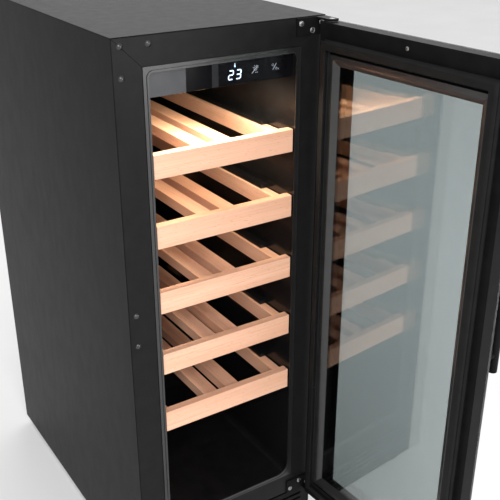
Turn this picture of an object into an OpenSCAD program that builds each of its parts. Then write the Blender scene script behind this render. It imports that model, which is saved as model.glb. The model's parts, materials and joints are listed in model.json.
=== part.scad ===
// Slim compressor wine cooler: steel cabinet, glazed door, five sliding beech shelves.
// Origin on the floor at mid-width, in the plane of the front frame. +Y runs to the back, +Z up.

/* [Cabinet] */
// Overall width of the cabinet
cabinet_w = 295; // [280:1:360]
// Overall height above the floor with the feet screwed in
cabinet_h = 820; // [790:5:1000]
// Depth of the cabinet behind its front frame
cabinet_d = 520; // [500:5:640]
// Height of the base pan above the floor
base_z = 14; // [12:1:20]
// Thickness of the steel sheets
sheet_t = 1; // [0.8:0.1:1.4]

/* [Front frame] */
// Width of each side member, from the cabinet's side to the opening
stile_w = 36.9; // [34:0.1:44]
// Height of the top member
top_rail_h = 35.7; // [34:0.1:44]
// Height of the bottom member
bottom_rail_h = 34; // [30:0.5:40]
// Depth of the frame's folded channel
frame_depth = 14; // [12:0.5:18]
// Thickness of the frame's steel
frame_t = 1.2; // [1:0.1:1.6]
// Gap along each side of a mitre
mitre_gap = 0.25; // [0.15:0.05:0.5]
// Height of the ventilation grille under the frame
kick_h = 64; // [56:1:80]
// Width of the plastic trim around the opening
trim_w = 7.5; // [6:0.5:10]
// How far the trim stands proud of the frame
trim_proud = 1.6; // [1:0.1:2.4]
// Radius of the trim's bottom corners
trim_r_low = 20; // [14:1:26]

/* [Inner cabinet] */
// Wall thickness of the moulded liner
liner_t = 1.5; // [1:0.1:2.5]
// Radius of the liner's bottom corners
liner_r_low = 12; // [6:1:14]
// Radius of the liner's top corners
liner_r_top = 6; // [3:1:12]
// Thickness of the foam behind the liner
foam_back = 40; // [30:1:50]
// Thickness of the foam over the machine bay
foam_step = 28; // [22:1:34]
// Clear depth of the machine bay
bay_d = 170; // [165:1:190]
// Height of the machine bay's ceiling above the floor
bay_top = 235; // [228:1:240]
// Depth of the air duct behind the shelves
duct_d = 45; // [42:1:60]

/* [Shelves] */
// Depth of the first shelf's top edge below the cabinet's top
shelf_first = 141.9; // [135:0.1:150]
// Vertical distance between shelves
shelf_pitch = 91.8; // [84:0.1:92]
// Height of a shelf's front board
fascia_h = 30.9; // [26:0.1:36]
// Thickness of a shelf's front board
fascia_t = 12; // [10:0.5:16]
// Clearance between the front board's ends and the trim
fascia_gap = 1.6; // [1:0.1:3]
// How much lower than the front board the side rails are
rail_drop = 8; // [6:0.5:10]
// Width of a side rail
rail_w = 13.5; // [12:0.5:16]
// Width of a middle rail
mid_rail_w = 22; // [16:0.5:26]
// Height of a middle rail
mid_rail_h = 15; // [12:0.5:18]
// Gap between the two middle rails
mid_gap = 14; // [10:0.5:20]
// Thickness of the back bar
back_bar_t = 12; // [10:0.5:16]
// Travel of a shelf to its stop
shelf_travel = 220; // [150:5:240]
// Height of a guide rib on the liner's side wall
guide_h = 6; // [5:0.5:7]
// Distance that a guide rib stands out from the wall
guide_w = 12; // [10:0.5:14]
// Vertical running clearance over and under a shelf's rails
slide_gap = 0.3; // [0.2:0.05:1]

/* [Door] */
// Angle at which the door stands open
door_angle = 93.5; // [80:0.5:100]
// Gap over and under the door
door_gap = 1; // [0.8:0.1:2]
// Overall thickness of the door without its gasket
door_t = 22; // [22:0.5:28]
// Thickness of each glass pane
glass_t = 4; // [3:0.5:5]
// Space between the two panes
pane_gap = 12; // [9:0.5:12]
// Width from the door's edge to its window
window_inset = 37.4; // [36:0.2:44]
// Further depth of the top and bottom borders
window_extra_z = 12.6; // [8:0.2:18]
// Height of the gasket when the door is shut
gasket_h = 12; // [10:0.5:14]
// Width of the gasket
gasket_w = 10.8; // [9:0.2:12]
// Distance from the door's side edge to the gasket
gasket_inset = 12; // [10:0.5:13]
// Further distance at the top and bottom edges
gasket_extra_z = 8; // [7:0.5:9]
// Clearance between the shut gasket and the frame
gasket_gap = 0.4; // [0.3:0.05:0.8]
// Length of the handle
handle_l = 260; // [160:5:360]
// Diameter of the handle bar
handle_dia = 12; // [10:0.5:16]
// Distance between the handle bar and the door's face
handle_reach = 28; // [24:1:36]

/* [Hinges] */
// Distance from the cabinet's side to the hinge axis
hinge_inset = 8; // [7:0.5:9]
// Distance of the hinge axis in front of the frame
hinge_forward = 24; // [24:0.5:27]
// Radius of a hinge pin
pin_r = 3.5; // [3:0.25:4]
// Length of the pin inside the door
pin_l = 13; // [10:0.5:16]
// Radial running clearance of a pin in its bush
pin_clear = 0.06; // [0.03:0.01:0.1]
// Wall of a hinge bush
bush_wall = 2; // [1.5:0.25:2.5]
// Width of a hinge bracket's upright plate
bracket_w = 43.7; // [40:0.1:46]
// Height of the upright plate
bracket_h = 22; // [18:0.5:22]
// Thickness of the bracket
bracket_t = 2.5; // [2:0.25:3]

/* [Control panel] */
// Height of the panel
panel_h = 31; // [26:0.5:36]
// Depth of the panel's housing
panel_d = 60; // [50:1:80]
// Distance of the panel's face behind the frame
panel_setback = 8; // [6:0.5:14]
// Width of the grey blank at the left
blank_w = 52; // [40:1:60]
// Thickness of the front window
window_t = 2; // [1.5:0.25:3]

/* [Cooling] */
// Outside size of each square fan frame
fan_size = 92; // [80:1:92]
// Depth of each fan frame
fan_d = 25; // [20:1:25]
// Diameter of the compressor shell
compressor_dia = 120; // [100:1:130]
// Height of the compressor shell
compressor_h = 150; // [130:1:155]
// Gap between the compressor and the right side panel
compressor_side_gap = 24; // [22:1:40]
// Width of the condenser
condenser_w = 112; // [100:1:120]
// Height of the condenser
condenser_h = 125; // [100:1:135]

/* [Feet] */
// Radius of a foot
foot_r = 16; // [12:0.5:20]
// Radius of a foot's threaded stem
foot_stem_r = 4; // [3:0.5:5]
// Length of the stem above the foot
foot_stem_l = 46; // [40:1:50]
// Distance of the feet from the cabinet's edges
foot_inset = 26; // [22:0.5:27]

/* [Hidden] */
$fn = 48;
SHELVES = 5;
seam = 0.2;
nudge = 0.1;
half_w = cabinet_w / 2;
side_x = half_w - sheet_t;
back_y = cabinet_d - sheet_t;
roof_z = cabinet_h - sheet_t;

frame_z0 = base_z + kick_h + 2;
open_x = half_w - stile_w;
open_z0 = frame_z0 + bottom_rail_h;
open_z1 = cabinet_h - top_rail_h;

liner_x = open_x - trim_w;
liner_z0 = open_z0 + trim_w;
liner_z1 = open_z1 - trim_w;
liner_y1 = back_y - foam_back - liner_t;
bay_y0 = back_y - bay_d;
step_y = bay_y0 - sheet_t - foam_back - liner_t;
step_z = bay_top + sheet_t + foam_step + liner_t;
duct_y = liner_y1 - duct_d;
duct_t = 2;
duct_half_w = liner_x - 15;
duct_z0 = step_z + 1;
duct_z1 = liner_z1 - 6;

fascia_x = liner_x - fascia_gap;
fascia_y = 0.5;
rail_h = fascia_h - rail_drop;
shelf_y0 = fascia_y + fascia_t;
shelf_y1 = duct_y - 7;
stop_y = 32;
stop_l = 6;
stop_w = 4;
stop_h = 3.5;
groove_clear = 1;
guide_y0 = 16;
guide_y1 = shelf_y1 - 2;
upper_guide_y0 = 60;

door_z0 = frame_z0 + door_gap + 2;
door_z1 = cabinet_h - 1 - bracket_t - door_gap;
door_back = -gasket_h;
door_front = -gasket_h - door_t;
door_w = cabinet_w;
hinge_x = half_w - hinge_inset;
hinge_y = -hinge_forward;
lug_t = bracket_t;
lug_r = 8;
bracket_x1 = half_w - 1.5;
bush_l = pin_l + 1;
bush_bore = pin_r + pin_clear;
bush_r = bush_bore + bush_wall;
bush_seat = 0.02;
door_frame_w = 26;
pane_edge = door_frame_w + 0.5;
pane_back = door_front + glass_t + pane_gap + glass_t;
handle_x = -half_w + 20;
handle_rise = 110;
handle_z = (door_z0 + door_z1) / 2 + handle_rise;
handle_post_r = 4;
handle_post_inset = 24;

screw_r = 2;
screw_head_r = 3.6;
screw_head_h = 1.6;
screw_l = 9;
screw_clear = 0.05;
hinge_screws_at = [[6, 4], [23, -5], [37, 4]];

plug_r = 4.1;
plug_h = 2.2;
plug_stem_r = 2.4;
plug_inset = 11.2;
plug_pitch = 35;
plug_x = half_w - plug_inset;
plug_column = [348, 392];
plug_top = [10.3, 46];
plug_inner_x = plug_x - plug_pitch;

panel_z1 = liner_z1;
panel_z0 = panel_z1 - panel_h;
panel_x = liner_x - 0.5;
panel_r_low = 0.5;
light_x = 70;
light_y0 = panel_setback + 18;
light_y1 = light_y0 + 20;

bay_cx = side_x - compressor_side_gap - compressor_dia / 2;
compressor_y = bay_y0 + bay_d / 2;
pan_t = 1.5;
pan_z1 = base_z + pan_t;
pan_y0 = 12;
mount_h = 11;
mount_r = 9;
mount_bolt_r = 3;
mount_x = 48;
mount_y = 42;
shell_z0 = pan_z1 + mount_h + 3;
fan_hub_r = 17;
fan_blade_r = fan_size / 2 - 5;
fan_blades = 7;
fan_shaft_r = 2;
cabin_fan_drop = 230;
cabin_fan_z = liner_z1 - cabin_fan_drop;
cabin_fan_y = duct_y + duct_t;
condenser_gap = 8;
condenser_d = 36;
condenser_x0 = -side_x + condenser_gap;
condenser_x1 = condenser_x0 + condenser_w;
condenser_y = bay_y0 + condenser_gap;
bay_fan_x = (condenser_x0 + condenser_x1) / 2;
bay_fan_y = condenser_y + condenser_d + condenser_gap;
bay_fan_z = pan_z1 + fan_size / 2;
pipe_r = 3;
pipe_hole_r = pipe_r + 0.5;
suction_x = bay_cx - compressor_dia / 2 - 12;
suction_y = back_y - 30;
drier_r = 8;
drier_l = 66;
drier_x = bay_fan_x + 40;
drier_y = bay_fan_y + fan_d + 22;
drier_z = pan_z1 + 30;
inlet_x = -half_w + 48;
inlet_z = bay_top - 36;
inlet_w = 27;
inlet_h = 20;
inlet_d = 20;
foot_disc_h = 9;
foot_base_h = 3;
rear_lip = 12;
rear_screw_inset = 6;
rib_proud = 3;
foot_clear = 0.05;

steel = "#1c1c1e";
plastic = "#0b0b0c";
gloss = "#060607";
beech = "#f0b594";
bright = "#b9bcc0";
foam_colour = "#e6d9a8";
copper = "#b8693c";
rubber = "#151516";

// ---- shared shapes ----

// A box between two opposite corners.
module span(low, high) {
    translate(low)
        cube(high - low);
}

// A flat outline in X and Z pushed back along Y from y0 to y1.
module slab_y(y0, y1) {
    translate([0, y1, 0])
        rotate([90, 0, 0])
            linear_extrude(height = y1 - y0)
                children();
}

// A flat outline in Y and Z pushed along X from x0 to x1.
module slab_x(x0, x1) {
    translate([x0, 0, 0])
        rotate([90, 0, 90])
            linear_extrude(height = x1 - x0)
                children();
}

// A rectangle whose top and bottom corners have their own radii.
module round_rect(x1, z0, z1, r_top, r_low) {
    difference() {
        translate([-x1, z0])
            square([2 * x1, z1 - z0]);
        for (side = [-1, 1]) {
            corner_cut(side, -1, [side * x1, z0], r_low);
            corner_cut(side, 1, [side * x1, z1], r_top);
        }
    }
}

// What a rounded corner leaves out of a square one.
module corner_cut(sx, sz, at, r) {
    difference() {
        translate([at[0] - (sx > 0 ? r : nudge), at[1] - (sz > 0 ? r : nudge)])
            square(r + nudge);
        translate([at[0] - sx * r, at[1] - sz * r])
            circle(r);
    }
}

// A ring around the door-sized rectangle, with mitred corners. Its children are the section:
// X is the distance inwards from the edge and Y the depth. The section lies within reach,
// and it sits extra_z further in along the top and bottom edges.
module mitred_ring(w, z0, z1, reach, extra_z) {
    h = z1 - z0;
    for (side = [0, 1])
        translate([0, 0, z0])
            mirror([side, 0, 0])
                intersection() {
                    translate([-w / 2, 0, 0])
                        linear_extrude(height = h)
                            children();
                    slab_y(-cabinet_d, cabinet_d)
                        polygon([[-w / 2, extra_z], [-w / 2, h - extra_z],
                                 [-w / 2 + reach, h - reach - extra_z], [-w / 2 + reach, reach + extra_z]]);
                }
    for (top = [0, 1])
        translate([0, 0, top == 1 ? z1 : z0])
            mirror([0, 0, top])
                intersection() {
                    translate([-w / 2, 0, extra_z])
                        mirror([0, 0, 1])
                            rotate([0, 90, 0])
                                linear_extrude(height = w)
                                    children();
                    slab_y(-cabinet_d, cabinet_d)
                        polygon([[-w / 2, extra_z], [w / 2, extra_z], [w / 2 - reach, reach + extra_z],
                                 [-w / 2 + reach, reach + extra_z]]);
                }
}

// A round tube through a list of points, with a ball at each bend.
module pipe(points, r) {
    for (i = [0 : len(points) - 2]) {
        run = points[i + 1] - points[i];
        translate(points[i])
            rotate([0, acos(run[2] / norm(run)), atan2(run[1], run[0])])
                cylinder(r = r, h = norm(run));
    }
    for (i = [1 : len(points) - 2])
        translate(points[i])
            sphere(r * 1.08);
}

// A screw along +Y with its head in front of y = 0.
module screw(head_r, head_h, r, l) {
    rotate([-90, 0, 0]) {
        translate([0, 0, -head_h])
            cylinder(r1 = head_r * 0.72, r2 = head_r, h = head_h);
        cylinder(r = r, h = l);
    }
}

// A rod along Y, used for bolts and for the holes that they pass through.
module rod_y(x, z, r, y0, y1) {
    translate([x, y0, z])
        rotate([-90, 0, 0])
            cylinder(r = r, h = y1 - y0);
}

// Moves a piece modelled on the shut door to where the door stands open.
module on_door() {
    translate([hinge_x, hinge_y, 0])
        rotate([0, 0, door_angle])
            translate([-hinge_x, -hinge_y, 0])
                children();
}

// ---- places that several pieces share ----

// Screws of the top and bottom hinge brackets, as X and Z in the frame's plane.
function hinge_screw_spots() = [
    for (s = hinge_screws_at) [bracket_x1 - bracket_w + s[0], bracket_mid(1) + s[1]],
    for (s = hinge_screws_at) [bracket_x1 - bracket_w + s[0], bracket_mid(0) - s[1]]
];
function bracket_mid(top) = top == 1 ? lug_z(1) + lug_t - bracket_h / 2 : lug_z(0) + bracket_h / 2;
function lug_z(top) = top == 1 ? cabinet_h - 1 - lug_t : door_z0 - door_gap - lug_t;

// Screws of the rear vent cover, through the side panels' rear lips.
function rear_screw_spots() = [
    for (side = [-1, 1]) for (z = [base_z + 30, bay_top - 20]) [side * (side_x - rear_screw_inset), z]
];

// Plugs that close the holes left for hanging the door on the other side.
function plug_spots() = [
    [-plug_x, cabinet_h - plug_top[0]],
    [-plug_inner_x, cabinet_h - plug_top[0]],
    [-plug_x, cabinet_h - plug_top[1]],
    for (d = plug_column) [-plug_x, cabinet_h - d],
    [-plug_x, frame_z0 + 11],
    [-plug_inner_x, frame_z0 + 11]
];

function shelf_top(i) = cabinet_h - shelf_first - (i - 1) * shelf_pitch;
function shelf_low(i) = shelf_top(i) - fascia_h;
function foot_spot(side, back) = [
    side * (half_w - foot_inset), back == 1 ? cabinet_d - foot_inset : foot_inset
];

// ---- cabinet shell ----

module side_panel(side) {
    top_lip_y0 = frame_depth + 4;
    top_lip_y1 = back_y - 20;
    mirror([side > 0 ? 0 : 1, 0, 0])
        difference() {
            union() {
                span([side_x, 0, base_z], [half_w, cabinet_d, roof_z]);
                span([side_x - rear_lip, top_lip_y0, roof_z - sheet_t], [side_x, top_lip_y1, roof_z]);
                span([side_x - rear_lip, back_y, base_z], [side_x, cabinet_d, roof_z]);
            }
            rear_screw_holes();
        }
}

module side_panel_left() {
    color(steel)
        side_panel(-1);
}

module side_panel_right() {
    color(steel)
        side_panel(1);
}

module top_panel() {
    color(steel)
        span([-half_w, 0, roof_z], [half_w, cabinet_d, cabinet_h]);
}

// Rear sheet with three pressed ribs, which are the cabinet's rearmost faces.
module back_panel() {
    rib_w = 12;
    rib_pitch = 70;
    rib_end = 20;
    color(steel)
        union() {
            span([-side_x, back_y - sheet_t, bay_top + 2], [side_x, back_y, roof_z - sheet_t]);
            for (k = [-1 : 1])
                span([k * rib_pitch - rib_w / 2, back_y - sheet_t, bay_top + rib_end],
                     [k * rib_pitch + rib_w / 2, back_y + rib_proud, roof_z - rib_end]);
        }
}

module rear_vent_cover() {
    slot_h = 5;
    slot_pitch = 10;
    slot_l = 100;
    slot_x = 70;
    low_z0 = pan_z1 + 16;
    low_z1 = bay_top - 72;
    high_x0 = 30;
    high_x1 = 120;
    high_z0 = bay_top - 55;
    high_z1 = bay_top - 20;
    y0 = back_y - sheet_t - nudge;
    color(steel)
        difference() {
            span([-side_x, back_y - sheet_t, pan_z1], [side_x, back_y, bay_top]);
            for (side = [-1, 1])
                for (z = [low_z0 : slot_pitch : low_z1])
                    span([side * slot_x - slot_l / 2, y0, z],
                         [side * slot_x + slot_l / 2, cabinet_d, z + slot_h]);
            for (z = [high_z0 : slot_pitch : high_z1])
                span([high_x0, y0, z], [high_x1, cabinet_d, z + slot_h]);
            inlet_body(seam);
            rear_screw_holes();
        }
}

// Floor of the machine bay, folded up at the front, with threaded bosses for the feet.
module base_pan() {
    fold_h = 14;
    boss_h = 9;
    boss_r = foot_stem_r + 4;
    color(bright)
        difference() {
            union() {
                span([-side_x, pan_y0, base_z], [side_x, back_y - sheet_t, pan_z1]);
                span([-side_x, pan_y0, pan_z1], [side_x, pan_y0 + pan_t, pan_z1 + fold_h]);
                at_feet()
                    translate([0, 0, pan_z1])
                        cylinder(r = boss_r, h = boss_h);
            }
            at_feet()
                cylinder(r = foot_stem_r + foot_clear, h = pan_z1 + boss_h + nudge);
            mount_spots()
                cylinder(r = mount_bolt_r + screw_clear, h = pan_z1 + nudge);
        }
}

// Places its children at the four feet.
module at_feet() {
    for (side = [-1, 1])
        for (back = [0, 1])
            translate([foot_spot(side, back)[0], foot_spot(side, back)[1], 0])
                children();
}

// The folded sheet that parts the foam from the machine bay and from the air duct below.
module bay_partition() {
    color(bright)
        difference() {
            slab_x(-side_x, side_x)
                polygon([
                    [frame_depth, frame_z0 - sheet_t], [bay_y0, frame_z0 - sheet_t],
                    [bay_y0, bay_top], [back_y - sheet_t, bay_top],
                    [back_y - sheet_t, bay_top + sheet_t], [bay_y0 - sheet_t, bay_top + sheet_t],
                    [bay_y0 - sheet_t, frame_z0], [frame_depth, frame_z0]
                ]);
            suction_hole();
        }
}

// Room for the suction line where it leaves the machine bay.
module suction_hole() {
    translate([suction_x, suction_y, bay_top - nudge])
        cylinder(r = pipe_hole_r, h = foam_step);
}

// ---- front frame ----

// Front outline of a side member, drawn for the right side.
module stile_outline() {
    outer = side_x - seam;
    polygon([
        [outer, frame_z0 + mitre_gap], [outer, roof_z - seam - mitre_gap],
        [open_x, open_z1 - mitre_gap], [open_x, open_z0 + mitre_gap]
    ]);
}

// A folded channel: the outline with its back hollowed between two lips.
module stile(side) {
    mirror([side > 0 ? 0 : 1, 0, 0])
        difference() {
            slab_y(0, frame_depth)
                stile_outline();
            span([open_x + frame_t, frame_t, 0], [side_x - seam - frame_t, frame_depth + nudge, cabinet_h]);
        }
}

module frame_stile_left() {
    color(steel)
        difference() {
            stile(-1);
            plug_holes();
        }
}

module frame_stile_right() {
    color(steel)
        difference() {
            stile(1);
            hinge_screw_holes();
        }
}

module frame_rail_top() {
    outer = side_x - seam;
    color(steel)
        difference() {
            slab_y(0, frame_depth)
                polygon([
                    [-outer + mitre_gap, roof_z - seam], [outer - mitre_gap, roof_z - seam],
                    [open_x - mitre_gap, open_z1], [-open_x + mitre_gap, open_z1]
                ]);
            span([-half_w, frame_t, open_z1 + frame_t],
                 [half_w, frame_depth + nudge, roof_z - seam - frame_t]);
            plug_holes();
            hinge_screw_holes();
        }
}

module frame_rail_bottom() {
    outer = side_x - seam;
    color(steel)
        difference() {
            slab_y(0, frame_depth)
                polygon([
                    [-outer + mitre_gap, frame_z0], [outer - mitre_gap, frame_z0],
                    [open_x - mitre_gap, open_z0], [-open_x + mitre_gap, open_z0]
                ]);
            span([-half_w, frame_t, frame_z0 + frame_t], [half_w, frame_depth + nudge, open_z0 - frame_t]);
            plug_holes();
            hinge_screw_holes();
        }
}

module plug_holes() {
    for (p = plug_spots())
        rod_y(p[0], p[1], plug_stem_r + screw_clear, -nudge, frame_depth - 2);
}

// Holes at the ends of the rear vent cover.
module rear_screw_holes() {
    for (p = rear_screw_spots())
        rod_y(p[0], p[1], screw_r + screw_clear, back_y - sheet_t - nudge, cabinet_d + nudge);
}

module hinge_screw_holes() {
    for (p = hinge_screw_spots())
        rod_y(p[0], p[1], screw_r + screw_clear, -nudge, frame_depth - 2);
}

// Domed plastic plugs with a short stem.
module hole_plugs() {
    ball_r = (plug_r * plug_r + plug_h * plug_h) / (2 * plug_h);
    color(plastic)
        for (p = plug_spots()) {
            rod_y(p[0], p[1], plug_stem_r, -nudge, 7);
            intersection() {
                translate([p[0], ball_r - plug_h, p[1]])
                    sphere(ball_r);
                rod_y(p[0], p[1], plug_r, -plug_h - nudge, 0);
            }
        }
}

// Two raised beads around the opening, with a plug-in back that fills the gap to the liner.
module opening_trim() {
    bead_in = 2.6;
    bead_out = 1.8;
    base_proud = 0.5;
    edge = seam;
    color(gloss)
        difference() {
            union() {
                slab_y(-base_proud, frame_depth - 2)
                    round_rect(open_x - edge, open_z0 + edge, open_z1 - edge, 1, 1);
                slab_y(-trim_proud, 0)
                    round_rect(liner_x + bead_in, liner_z0 - bead_in, liner_z1 + bead_in,
                               liner_r_top + bead_in, trim_r_low + bead_in);
                slab_y(-trim_proud * 0.7, 0)
                    difference() {
                        round_rect(open_x - edge, open_z0 + edge, open_z1 - edge, 1, 1);
                        round_rect(open_x - edge - bead_out, open_z0 + edge + bead_out,
                                   open_z1 - edge - bead_out, liner_r_top + 3, trim_r_low + 3);
                    }
            }
            slab_y(-5, 0)
                round_rect(liner_x, liner_z0, liner_z1, liner_r_top, trim_r_low);
            slab_y(0, frame_depth)
                round_rect(liner_x + liner_t, liner_z0 - liner_t, liner_z1 + liner_t,
                           liner_r_top + liner_t, liner_r_low + liner_t);
        }
}

// ---- inner cabinet ----

// Side view of the chilled space, grown by g: deep above, shallow in front of the bay.
module cavity_profile(y0, g) {
    polygon([
        [y0, liner_z0 - g], [step_y + g, liner_z0 - g], [step_y + g, step_z - g],
        [liner_y1 + g, step_z - g], [liner_y1 + g, liner_z1 + g], [y0, liner_z1 + g]
    ]);
}

module cavity(y0, g) {
    intersection() {
        slab_y(y0, cabinet_d)
            round_rect(liner_x + g, liner_z0 - g, liner_z1 + g, liner_r_top + g, liner_r_low + g);
        slab_x(-half_w, half_w)
            cavity_profile(y0, g);
    }
}

module inner_liner() {
    color(gloss)
        difference() {
            cavity(0, liner_t);
            cavity(-nudge, 0);
        }
}

// Foam between the liner and the steel.
module insulation() {
    color(foam_colour)
        difference() {
            slab_x(-side_x + 0.1, side_x - 0.1)
                polygon([
                    [frame_depth, frame_z0], [bay_y0 - sheet_t, frame_z0],
                    [bay_y0 - sheet_t, bay_top + sheet_t], [back_y - sheet_t, bay_top + sheet_t],
                    [back_y - sheet_t, roof_z - sheet_t], [frame_depth, roof_z - sheet_t]
                ]);
            cavity(0, liner_t);
            suction_hole();
        }
}

// Moulded ribs under and over each shelf's rails, drawn for the right side.
module shelf_guides(side) {
    mirror([side > 0 ? 0 : 1, 0, 0])
        for (i = [1 : SHELVES]) {
            rib_z = shelf_low(i) - slide_gap;
            rib_x = liner_x - guide_w;
            stop_x = fascia_x - rail_w / 2;
            span([rib_x, guide_y0, rib_z - guide_h], [liner_x, guide_y1, rib_z]);
            span([stop_x - stop_w / 2, stop_y, rib_z - nudge],
                 [stop_x + stop_w / 2, stop_y + stop_l, rib_z + stop_h]);
            over_z = shelf_low(i) + rail_h + slide_gap;
            span([rib_x, upper_guide_y0, over_z], [liner_x, guide_y1, over_z + guide_h]);
        }
}

module shelf_guides_left() {
    color(gloss)
        shelf_guides(-1);
}

module shelf_guides_right() {
    color(gloss)
        shelf_guides(1);
}

// Cover of the air duct: an open-backed box with a fan grille and two rows of slots.
module duct_cover() {
    slot_x = 60;
    slot_h = 5;
    slot_pitch = 12;
    low_z0 = duct_z0 + 20;
    high_z1 = duct_z1 - 20;
    color(gloss)
        difference() {
            span([-duct_half_w, duct_y, duct_z0], [duct_half_w, liner_y1, duct_z1]);
            span([-duct_half_w + duct_t, duct_y + duct_t, duct_z0 + duct_t],
                 [duct_half_w - duct_t, liner_y1 + nudge, duct_z1 - duct_t]);
            fan_grille_slots();
            for (k = [0 : 3])
                duct_slot(slot_x, low_z0 + k * slot_pitch, slot_h);
            for (k = [0 : 2])
                duct_slot(slot_x, high_z1 - slot_h - k * slot_pitch, slot_h);
        }
}

// A level slot through the duct cover's front wall, half_l to each side of the middle.
module duct_slot(half_l, z, h) {
    span([-half_l, duct_y - nudge, z], [half_l, duct_y + duct_t + nudge, z + h]);
}

// Level slots inside the fan's circle, each as long as the circle is wide there.
module fan_grille_slots() {
    rows = 4;
    pitch = 9;
    slot_h = 5;
    web = 4;
    grille_r = fan_blade_r - 1;
    difference() {
        for (k = [-rows : rows])
            duct_slot(sqrt(grille_r * grille_r - pow(abs(k) * pitch + slot_h / 2, 2)),
                      cabin_fan_z + k * pitch - slot_h / 2, slot_h);
        span([-web / 2, 0, cabin_fan_z - fan_size], [web / 2, liner_y1, cabin_fan_z + fan_size]);
    }
}

// Roll-bonded plate with a channel that winds down it.
module evaporator() {
    plate_x = 70;
    plate_t = 1.5;
    z0 = duct_z0 + 14;
    passes = 6;
    pitch = 30;
    pass_x = 45;
    margin = 20;
    tube_r = 2.2;
    tube_y = liner_y1 - tube_r;
    color(bright)
        union() {
            span([-plate_x, liner_y1 - plate_t, z0],
                 [plate_x, liner_y1, z0 + 2 * margin + (passes - 1) * pitch]);
            for (k = [0 : passes - 1])
                translate([-pass_x, tube_y, z0 + margin + k * pitch])
                    rotate([0, 90, 0])
                        cylinder(r = tube_r, h = 2 * pass_x);
            for (k = [0 : passes - 2])
                translate([(k % 2 == 0 ? 1 : -1) * pass_x, tube_y, z0 + margin + (k + 0.5) * pitch])
                    rotate([90, k % 2 == 0 ? 90 : -90, 0])
                        rotate_extrude(angle = 180)
                            translate([pitch / 2, 0])
                                circle(tube_r);
        }
}

// ---- fans ----

// Square frame with a round throat and a bearing arm, facing +Y from its own origin.
module fan_frame() {
    half = fan_size / 2;
    throat_r = fan_blade_r + 1.5;
    arm_t = 3;
    arm_w = 6;
    arm_l = fan_blade_r + 2;
    hole_r = 2;
    corner = half - 5;
    difference() {
        span([-half, 0, -half], [half, fan_d, half]);
        rod_y(0, 0, throat_r, -nudge, fan_d + nudge);
        for (sx = [-1, 1])
            for (sz = [-1, 1])
                rod_y(sx * corner, sz * corner, hole_r, -nudge, fan_d + nudge);
    }
    difference() {
        union() {
            rod_y(0, 0, fan_hub_r - 2, fan_d - arm_t, fan_d);
            span([-arm_l, fan_d - arm_t, -arm_w / 2], [arm_l, fan_d, arm_w / 2]);
            span([-arm_w / 2, fan_d - arm_t, -arm_l], [arm_w / 2, fan_d, arm_l]);
        }
        rod_y(0, 0, fan_shaft_r + 0.05, fan_d - arm_t - nudge, fan_d + nudge);
    }
}

// Hub with pitched blades and a shaft that runs in the frame's arm.
module fan_rotor() {
    front_gap = 2;
    hub_d = fan_d - 7;
    blade_w = 21;
    blade_t = 1.8;
    blade_y = 10;
    pitch = 32;
    rod_y(0, 0, fan_hub_r, front_gap, front_gap + hub_d);
    rod_y(0, 0, fan_shaft_r, front_gap + hub_d, fan_d - 0.5);
    intersection() {
        rod_y(0, 0, fan_blade_r, front_gap, front_gap + hub_d);
        for (k = [0 : fan_blades - 1])
            rotate([0, k * 360 / fan_blades, 0])
                translate([0, blade_y, 0])
                    rotate([0, 0, pitch])
                        span([-blade_w / 2, -blade_t / 2, fan_hub_r - 2],
                             [blade_w / 2, blade_t / 2, fan_size / 2]);
    }
}

module cabin_fan_frame() {
    color(plastic)
        translate([0, cabin_fan_y, cabin_fan_z])
            fan_frame();
}

module cabin_fan_rotor() {
    color(plastic)
        translate([0, cabin_fan_y, cabin_fan_z])
            fan_rotor();
}

module bay_fan_frame() {
    color(plastic)
        translate([bay_fan_x, bay_fan_y, bay_fan_z])
            fan_frame();
}

module bay_fan_rotor() {
    color(plastic)
        translate([bay_fan_x, bay_fan_y, bay_fan_z])
            fan_rotor();
}

// A probe under a small slotted cap, on the duct cover.
module temperature_sensor() {
    cap = [14, 9, 26];
    slot_h = 3;
    slot_pitch = 6;
    slot_d = 5;
    x = duct_half_w - 22;
    z = shelf_low(1) - 45;
    color(plastic)
        difference() {
            span([x, duct_y - cap[1], z], [x + cap[0], duct_y, z + cap[2]]);
            for (k = [0 : 2])
                span([x - nudge, duct_y - cap[1] - nudge, z + slot_d + k * slot_pitch],
                     [x + cap[0] + nudge, duct_y - cap[1] + slot_d, z + slot_d + k * slot_pitch + slot_h]);
        }
}

// ---- controls and light ----

module control_housing() {
    wall = 2;
    face_t = 3;
    y0 = panel_setback + window_t;
    y1 = panel_setback + panel_d;
    color(plastic)
        difference() {
            slab_y(y0, y1)
                round_rect(panel_x, panel_z0, panel_z1, liner_r_top, panel_r_low);
            span([-panel_x + wall, y0 + face_t, panel_z0 + wall],
                 [panel_x - wall, y1 - wall, panel_z1 - wall]);
            span([-light_x, light_y0, panel_z0 - nudge], [light_x, light_y1, panel_z0 + wall + nudge]);
        }
}

module control_window() {
    color(gloss)
        intersection() {
            slab_y(panel_setback, panel_setback + window_t)
                round_rect(panel_x, panel_z0, panel_z1, liner_r_top, panel_r_low);
            span([-panel_x + blank_w, 0, panel_z0], [panel_x, panel_d, panel_z1]);
        }
}

module control_blank() {
    blank_proud = 1;
    color("#3a3b3f")
        intersection() {
            slab_y(panel_setback - blank_proud, panel_setback + window_t)
                round_rect(panel_x, panel_z0, panel_z1, liner_r_top, panel_r_low);
            span([-panel_x, 0, panel_z0], [-panel_x + blank_w - seam, panel_d, panel_z1]);
        }
}

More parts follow.
